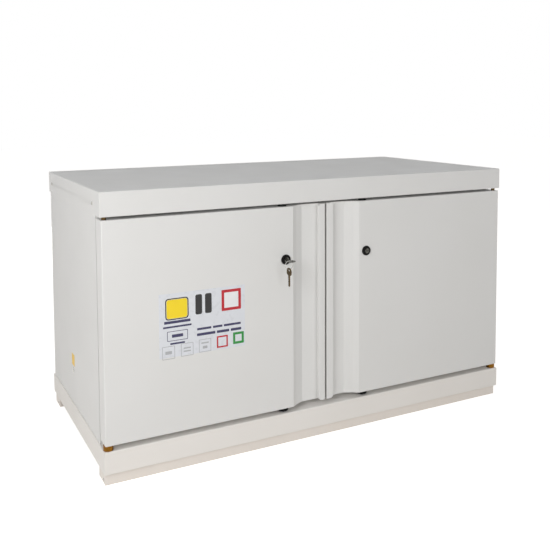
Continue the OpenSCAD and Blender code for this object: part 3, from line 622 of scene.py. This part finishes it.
def finish_cad_pieces():
    for name, piece in NODES.items():
        slot = SLOT_OF_NODE[name]
        material = NODE_MATERIALS.get(name, SLOT_MATERIALS[slot])
        piece.data.materials.clear()
        piece.data.materials.append(material)
        weld = piece.modifiers.new("weld", "WELD")
        weld.merge_threshold = WELD_REACH
        if name not in SHARP_NODES:
            soft = piece.modifiers.new("soft_edges", "BEVEL")
            soft.width = EDGE_SOFT
            soft.segments = 2
            soft.limit_method = "ANGLE"
            soft.angle_limit = EDGE_ANGLE
            soft.use_clamp_overlap = True
            soft.harden_normals = False
        even = piece.modifiers.new("even_shading", "WEIGHTED_NORMAL")
        even.keep_sharp = True


# ---- small fasteners ----

COVER_HALF_WIDTH = 550 * MM
SCREW_RADIUS = 4 * MM
RIVET_RADIUS = 3 * MM
RECESS_LONG = 0.6
RECESS_THIN = 0.14
RECESS_DEEP = 0.75


def pan_head(centre, axis, radius, height):
    """Pan head with a cross recess, its seat at centre and its top along axis."""
    bend = 0.9 * height
    break_edge = 0.1 * MM
    profile = [(0, 0), (radius - break_edge, 0), (radius, break_edge), (radius, height - bend)]
    for k in range(1, 7):
        a = math.radians(15 * k)
        profile.append((
            radius - bend + bend * math.cos(a), height - bend + bend * math.sin(a)
        ))
    profile.append((0, height))
    blank = turned(profile, centre, axis)
    turn = Vector(axis).to_track_quat("Z", "Y").to_matrix().to_4x4()
    long = RECESS_LONG * radius
    thin = RECESS_THIN * radius
    deep = RECESS_DEEP * height
    cutters = []
    for k in range(2):
        points = []
        for z, grow in ((height * 1.2, 1.1), (height - deep, 0.45)):
            for sx, sy in ((-1, -1), (1, -1), (1, 1), (-1, 1)):
                points.append(Vector((sx * long * grow, sy * thin, z)))
        quarter = Matrix.Rotation(math.radians(45 + 90 * k), 4, "Z")
        placed = [Vector(centre) + turn @ quarter @ p for p in points]
        cutters.append(mesh_from(placed, [
            (3, 2, 1, 0), (4, 5, 6, 7), (0, 1, 5, 4), (1, 2, 6, 5), (2, 3, 7, 6), (3, 0, 4, 7)
        ]))
    return cut(blank, cutters)


def rivet_head(centre, axis, radius, height):
    """Blind rivet: a low dome with the stem broken off in its hole."""
    hole = 0.36 * radius
    rim = 0.15 * MM
    profile = [(0, 0), (radius, 0)]
    for k in range(7):
        a = math.radians(4 + 13 * k)
        profile.append((radius * math.cos(a), rim + (height - rim) * math.sin(a)))
    profile += [(hole, 0.98 * height), (hole, 0.55 * height), (0.6 * hole, 0.62 * height)]
    profile += [(0, 0.66 * height)]
    return turned(profile, centre, axis, 32)


def heads_at_both_ends(node_name, wall, radius, head):
    """Heads of a node's fasteners, front and back at each end, seated at x = wall."""
    low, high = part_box(node_name)
    heads = []
    for side in (-1, 1):
        for y in (low.y + radius, high.y - radius):
            seat = (side * wall, y, (low.z + high.z) / 2)
            heads.append(head(seat, (side, 0, 0), radius, high.x - wall))
    mesh = join_meshes(heads)
    shade(mesh)
    return mesh


def add_fasteners():
    mesh = heads_at_both_ends("cover_screws", COVER_HALF_WIDTH, SCREW_RADIUS, pan_head)
    screws = add_object("cover_screw_heads", mesh, "root", STEEL_ALONG_X)
    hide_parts("cover_screws")
    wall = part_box("plinth_front")[1].x
    mesh = heads_at_both_ends("plinth_rivets", wall, RIVET_RADIUS, rivet_head)
    rivets = add_object("plinth_rivet_heads", mesh, "root", STEEL_ALONG_X)
    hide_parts("plinth_rivets")


# ---- keys and ring ----

BOW_W = 22 * MM
BOW_L = 18.5 * MM
BOW_HOLE = 3 * MM
BOW_HOLE_AT = 5.5 * MM
BOW_PANEL_W = 15 * MM
BOW_PANEL_L = 6.6 * MM
BOW_PANEL_AT = 13.2 * MM
BOW_JOIN = 1 * MM
KEY_T = 1.8 * MM
KEY_L = 44 * MM
KEY_EDGE = 0.22 * MM
KEY_TIP = 1 * MM
TIP_SLOPE = 3 * MM
BLADE_W = 7 * MM
SUNK = 0.28 * MM
GROOVE_W = 1.4 * MM
GROOVE_OFF = 0.9 * MM
GROOVE_FROM = BOW_L + 2 * MM
# Depth of each cut in the blade in millimetres, the one nearest to the bow first
BLADE_CUTS = (1.0, 1.35, 1.1, 1.35)
CUT_PITCH = 4 * MM
CUT_FLAT = 0.3 * MM
LAST_CUT = 6 * MM


def oval(half_x, half_y, at_y, power=0.85, steps=48):
    points = []
    for k in range(steps):
        a = math.tau * k / steps
        points.append((
            math.copysign(abs(math.cos(a)) ** power, math.cos(a)) * half_x,
            at_y + math.copysign(abs(math.sin(a)) ** power, math.sin(a)) * half_y,
        ))
    return points


def circle(radius, at_x, at_y, steps=32):
    return [
        (at_x + radius * math.cos(math.tau * k / steps),
         at_y + radius * math.sin(math.tau * k / steps))
        for k in range(steps)
    ]


def key_outline():
    """The end of the bow at y = 0 and the blade towards +y, its cuts on the +x side."""
    join = BOW_L - 1.2 * MM
    half = BLADE_W / 2
    bow = [p for p in oval(BOW_W / 2, BOW_L / 2, BOW_L / 2) if p[1] < join or abs(p[0]) > half]
    start = max(range(len(bow)), key=lambda i: (bow[i][1], bow[i][0]) if bow[i][0] < 0 else (-1, 0))
    bow = bow[start:] + bow[:start]
    blade = [(half, BOW_L + BOW_JOIN)]
    for k, depth in enumerate(BLADE_CUTS):
        at = KEY_L - LAST_CUT - CUT_PITCH * (len(BLADE_CUTS) - 1 - k)
        deep = depth * MM
        blade += [(half, at - deep - CUT_FLAT), (half - deep, at - CUT_FLAT)]
        blade += [(half - deep, at + CUT_FLAT), (half, at + deep + CUT_FLAT)]
    blade += [(half, KEY_L - TIP_SLOPE), (KEY_TIP, KEY_L)]
    blade += [(-KEY_TIP, KEY_L), (-half, KEY_L - TIP_SLOPE)]
    blade += [(-half, BOW_L + BOW_JOIN)]
    return bow + blade


def key_mesh(place):
    """Flat key with a sunk panel in each face of its bow and a milled blade."""
    flat = Matrix.Identity(4)
    hole = circle(BOW_HOLE, 0, BOW_HOLE_AT)
    blank = plate([key_outline(), hole], KEY_T, KEY_EDGE, flat)
    cutters = []
    for side in (-1, 1):
        lift = Matrix.Translation((0, 0, side * (KEY_T / 2)))
        panel = plate([oval(BOW_PANEL_W / 2, BOW_PANEL_L / 2, BOW_PANEL_AT)], 2 * SUNK, 0.0, lift)
        near = (side - 1) * GROOVE_OFF
        far = near + GROOVE_W
        past = KEY_L + KEY_TIP
        groove = [(near, GROOVE_FROM), (far, GROOVE_FROM), (far, past), (near, past)]
        cutters += [panel, plate([groove], 2.4 * SUNK, 0.0, lift)]
    mesh = cut(blank, cutters)
    mesh.transform(place)
    shade(mesh, 30)
    return mesh


def split_ring_mesh(centre, mean, half_wide, half_thick):
    """Flat wire wound twice round, its turns side by side with one crossing step."""
    steps = 144
    rings = []
    corner = 0.3 * half_thick
    section = []
    for sx, sy, first in ((1, 1, 0), (-1, 1, 90), (-1, -1, 180), (1, -1, 270)):
        for k in range(3):
            a = math.radians(first + 45 * k)
            section.append((
                sx * (half_wide - corner) + corner * math.cos(a),
                sy * (half_thick - corner) + corner * math.sin(a),
            ))
    for i in range(steps + 1):
        part = i / steps
        a = math.radians(250) + 2 * math.tau * part * 0.985
        ease = min(1.0, max(0.0, (part - 0.46) / 0.08))
        shift = (3 * ease * ease - 2 * ease ** 3) * 2 - 1
        out = Vector((math.cos(a), 0, math.sin(a)))
        rings.append([
            centre + out * (mean + r) + Vector((0, shift * (half_thick + 0.02 * MM) + t, 0))
            for r, t in section
        ])
    mesh = swept(rings, False)
    shade(mesh, 50)
    return mesh


def add_keys():
    low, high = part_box("key_left")
    flat = Matrix.Translation(((low.x + high.x) / 2, low.y, (low.z + high.z) / 2))
    key = add_object("lock_key", key_mesh(flat), "barrel_left", LOCK_NICKEL)
    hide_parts("key_left")
    low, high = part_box("spare_key")
    hang = Matrix(((0, 0, 1, (low.x + high.x) / 2), (1, 0, 0, (low.y + high.y) / 2),
                   (0, -1, 0, high.z), (0, 0, 0, 1)))
    spare = add_object("second_key", key_mesh(hang), "hanging_keys", KEY_BRASS)
    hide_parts("spare_key")
    low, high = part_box("key_ring")
    thick = high.y - low.y
    mean = (high.x - low.x) / 2 - thick / 2
    ring = add_object(
        "split_ring",
        split_ring_mesh((low + high) / 2, mean, 0.31 * thick, 0.185 * thick),
        "hanging_keys", SLOT_MATERIALS["steel"],
    )
    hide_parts("key_ring")


# ---- door seals ----

SEAL_W = 12 * MM
SEAL_FOOT = 0.9 * MM
SEAL_LEDGE = (1.6 * MM, 1.0 * MM)
BULB_HALF = 4.2 * MM
BULB_FROM = 1.2 * MM


def seal_profile(tall):
    """Points across the seal and up from the door's inner sheet."""
    profile = [(0, 0), (0, SEAL_FOOT), SEAL_LEDGE]
    for k in range(9):
        a = math.radians(180 - 22.5 * k)
        profile.append((
            SEAL_W / 2 + BULB_HALF * math.cos(a), BULB_FROM + (tall - BULB_FROM) * math.sin(a)
        ))
    return profile + [(SEAL_W - SEAL_LEDGE[0], SEAL_LEDGE[1]), (SEAL_W, SEAL_FOOT), (SEAL_W, 0)]


def add_door_seals():
    """Bulb seal on a flat foot, mitred at the corners of each door."""
    for side in ("left", "right"):
        name = "door_gasket_" + side
        low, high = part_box(name)
        profile = seal_profile(high.y - low.y)
        rings = []
        for x, z, sx, sz in (
            (low.x, low.z, 1, 1), (high.x, low.z, -1, 1),
            (high.x, high.z, -1, -1), (low.x, high.z, 1, -1),
        ):
            rings.append([Vector((x + sx * a, low.y + h, z + sz * a)) for a, h in profile])
        mesh = swept(rings, True)
        shade(mesh, 40)
        seal = add_object("bulb_seal_" + side, mesh, "door_" + side, SLOT_MATERIALS["seal"])
        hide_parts(name)


# ---- label print ----

INK_T = 0.03 * MM
INK_LIFT = 0.02 * MM


def label_place(node_name):
    """Matrix from label millimetres, x to the right and y up from its middle, to its face."""
    low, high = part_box(node_name)
    middle = ((low.x + high.x) / 2, low.y - INK_LIFT, (low.z + high.z) / 2)
    return Matrix.Translation(middle) @ Matrix.Rotation(math.radians(90), 4, "X")


def rounded_box(x, y, width, height, radius):
    points = []
    for sx, sy, first in ((1, 1, 0), (-1, 1, 90), (-1, -1, 180), (1, -1, 270)):
        for k in range(5):
            a = math.radians(first + 22.5 * k)
            points.append((
                (x + sx * (width / 2 - radius) + radius * math.cos(a)) * MM,
                (y + sy * (height / 2 - radius) + radius * math.sin(a)) * MM,
            ))
    return points


def frame_of(x, y, side, line):
    return [rounded_box(x, y, side, side, 1), rounded_box(x, y, side - line, side - line, 0.6)]


LABEL_SHAPES = {
    "yellow": [[rounded_box(-61, 36, 48, 42, 5)]],
    "black": [
        [rounded_box(-61, 36, 54, 48, 7), rounded_box(-61, 36, 49, 43, 5.2)],
        [rounded_box(-10, 39, 16, 45, 4)],
        [rounded_box(13, 39, 16, 45, 4)],
    ],
    "red": [frame_of(69, 40, 48, 13), frame_of(46, -53.5, 27, 7)],
    "white": [[rounded_box(69, 40, 34.6, 34.6, 0.6)]],
    "green": [frame_of(86, -50.7, 27, 11)],
    "navy": [
        [rounded_box(-60.5, 7, 61, 6, 1)],
        [rounded_box(-60.5, -3.5, 66, 4, 1)],
        [rounded_box(-60.5, -24, 48, 22, 2), rounded_box(-60.5, -24, 45.5, 19.5, 1.4)],
        [rounded_box(-60.5, -24, 26, 7, 1)],
        [rounded_box(-60.5, -41, 34, 4, 1)],
        [rounded_box(2.5, -17, 34, 5, 1)],
        [rounded_box(35, -17, 23, 5, 1)],
        [rounded_box(71, -17, 42, 5, 1)],
        [rounded_box(7, -29.6, 44, 6, 1)],
        [rounded_box(48, -29.6, 30, 6, 1)],
        [rounded_box(80, -29.6, 26, 6, 1)],
    ],
    "grey": [
        frame_of(-81.5, -60, 29, 2.4),
        frame_of(-38.4, -58.5, 29, 2.4),
        frame_of(4, -56, 29, 2.4),
        [rounded_box(-81.5, -60, 15, 7, 1)],
        [rounded_box(-38.4, -55, 17, 3, 1)],
        [rounded_box(-38.4, -62, 17, 3, 1)],
        [rounded_box(4, -50, 18, 3, 1)],
        [rounded_box(4, -60, 11, 6, 1)],
    ],
}


def add_label_print():
    """Plain colour fields, frames and bars on the film, with no words or signs."""
    place = label_place("door_label")
    for ink, shapes in LABEL_SHAPES.items():
        sheets = [plate(shape, INK_T, 0.0, place) for shape in shapes]
        add_object("label_" + ink, join_meshes(sheets), "door_left", INKS[ink])


# ---- stage ----

FLOOR_WIDTH = 24.0
FLOOR_COLOUR = srgb(226, 221, 215)
WORLD_FILL = 0.29
FLOOR_GLOW = 0.8


def camera_like_rays(tree):
    """1 for rays that the camera sees directly, in a mirror or through glass."""
    path = tree.nodes.new("ShaderNodeLightPath")
    seen = math_node(tree, "MAXIMUM", path.outputs["Is Camera Ray"], path.outputs["Is Glossy Ray"])
    return math_node(tree, "MAXIMUM", seen, path.outputs["Is Transmission Ray"])


def add_world():
    world = bpy.data.worlds.new("studio")
    bpy.context.scene.world = world
    world.use_nodes = True
    tree = world.node_tree
    tree.nodes.clear()
    fill = node(tree, "ShaderNodeBackground", Color=(1, 1, 1, 1), Strength=WORLD_FILL)
    white = node(tree, "ShaderNodeBackground", Color=(1, 1, 1, 1), Strength=1.0)
    mix = node(tree, "ShaderNodeMixShader")
    out = node(tree, "ShaderNodeOutputWorld")
    tree.links.new(camera_like_rays(tree), mix.inputs[0])
    tree.links.new(fill.outputs[0], mix.inputs[1])
    tree.links.new(white.outputs[0], mix.inputs[2])
    tree.links.new(mix.outputs[0], out.inputs[0])


def add_floor():
    """Pale floor that shows white to the camera where the cabinet doesn't shade it."""
    half = FLOOR_WIDTH / 2
    mesh = mesh_from(
        [(-half, -half, 0), (half, -half, 0), (half, half, 0), (-half, half, 0)], [(0, 1, 2, 3)]
    )
    floor = bpy.data.objects.new("studio_floor", mesh)
    bpy.context.scene.collection.objects.link(floor)
    made = bpy.data.materials.new("studio_floor")
    made.use_nodes = True
    tree = made.node_tree
    tree.nodes.clear()
    matt = node(tree, "ShaderNodeBsdfDiffuse", Color=FLOOR_COLOUR)
    glow = node(tree, "ShaderNodeEmission", Color=(1, 1, 1, 1))
    both = node(tree, "ShaderNodeAddShader")
    out = node(tree, "ShaderNodeOutputMaterial")
    strength = math_node(tree, "MULTIPLY", camera_like_rays(tree), FLOOR_GLOW)
    tree.links.new(strength, glow.inputs["Strength"])
    tree.links.new(matt.outputs[0], both.inputs[0])
    tree.links.new(glow.outputs[0], both.inputs[1])
    tree.links.new(both.outputs[0], out.inputs["Surface"])
    mesh.materials.append(made)


def add_light(name, at, aim, size, power, mirrored=True):
    data = bpy.data.lights.new(name, "AREA")
    data.shape = "RECTANGLE"
    data.size = size[0]
    data.size_y = size[1]
    data.energy = power
    lamp = bpy.data.objects.new(name, data)
    lamp.visible_glossy = mirrored
    bpy.context.scene.collection.objects.link(lamp)
    lamp.location = at
    lamp.rotation_euler = (Vector(aim) - Vector(at)).to_track_quat("-Z", "Y").to_euler()


def add_lights():
    add_light("near_soft_box", (-1.45, -1.15, 1.05), (-0.5, -0.25, 0.5), (0.6, 0.6), 7.2)
    add_light("corner_soft_box", (-1.9, -1.7, 0.9), (-0.5, -0.2, 0.35), (0.8, 0.8), 6.8)
    add_light("front_soft_box", (0.2, -3.2, 1.1), (0.0, 0.0, 0.35), (1.6, 1.2), 24, False)
    add_light("side_soft_box", (-3.0, 0.1, 1.0), (-0.5, 0.0, 0.3), (1.4, 1.2), 6)
    add_light("back_soft_box", (0.5, 3.2, 0.35), (0.1, 0.3, 0.3), (2.4, 0.5), 40)


# ---- the whole ----

bpy.context.scene.view_settings.view_transform = "Standard"
add_camera()
add_world()
add_floor()
add_lights()
finish_cad_pieces()
add_fasteners()
add_keys()
add_door_seals()
add_label_print()
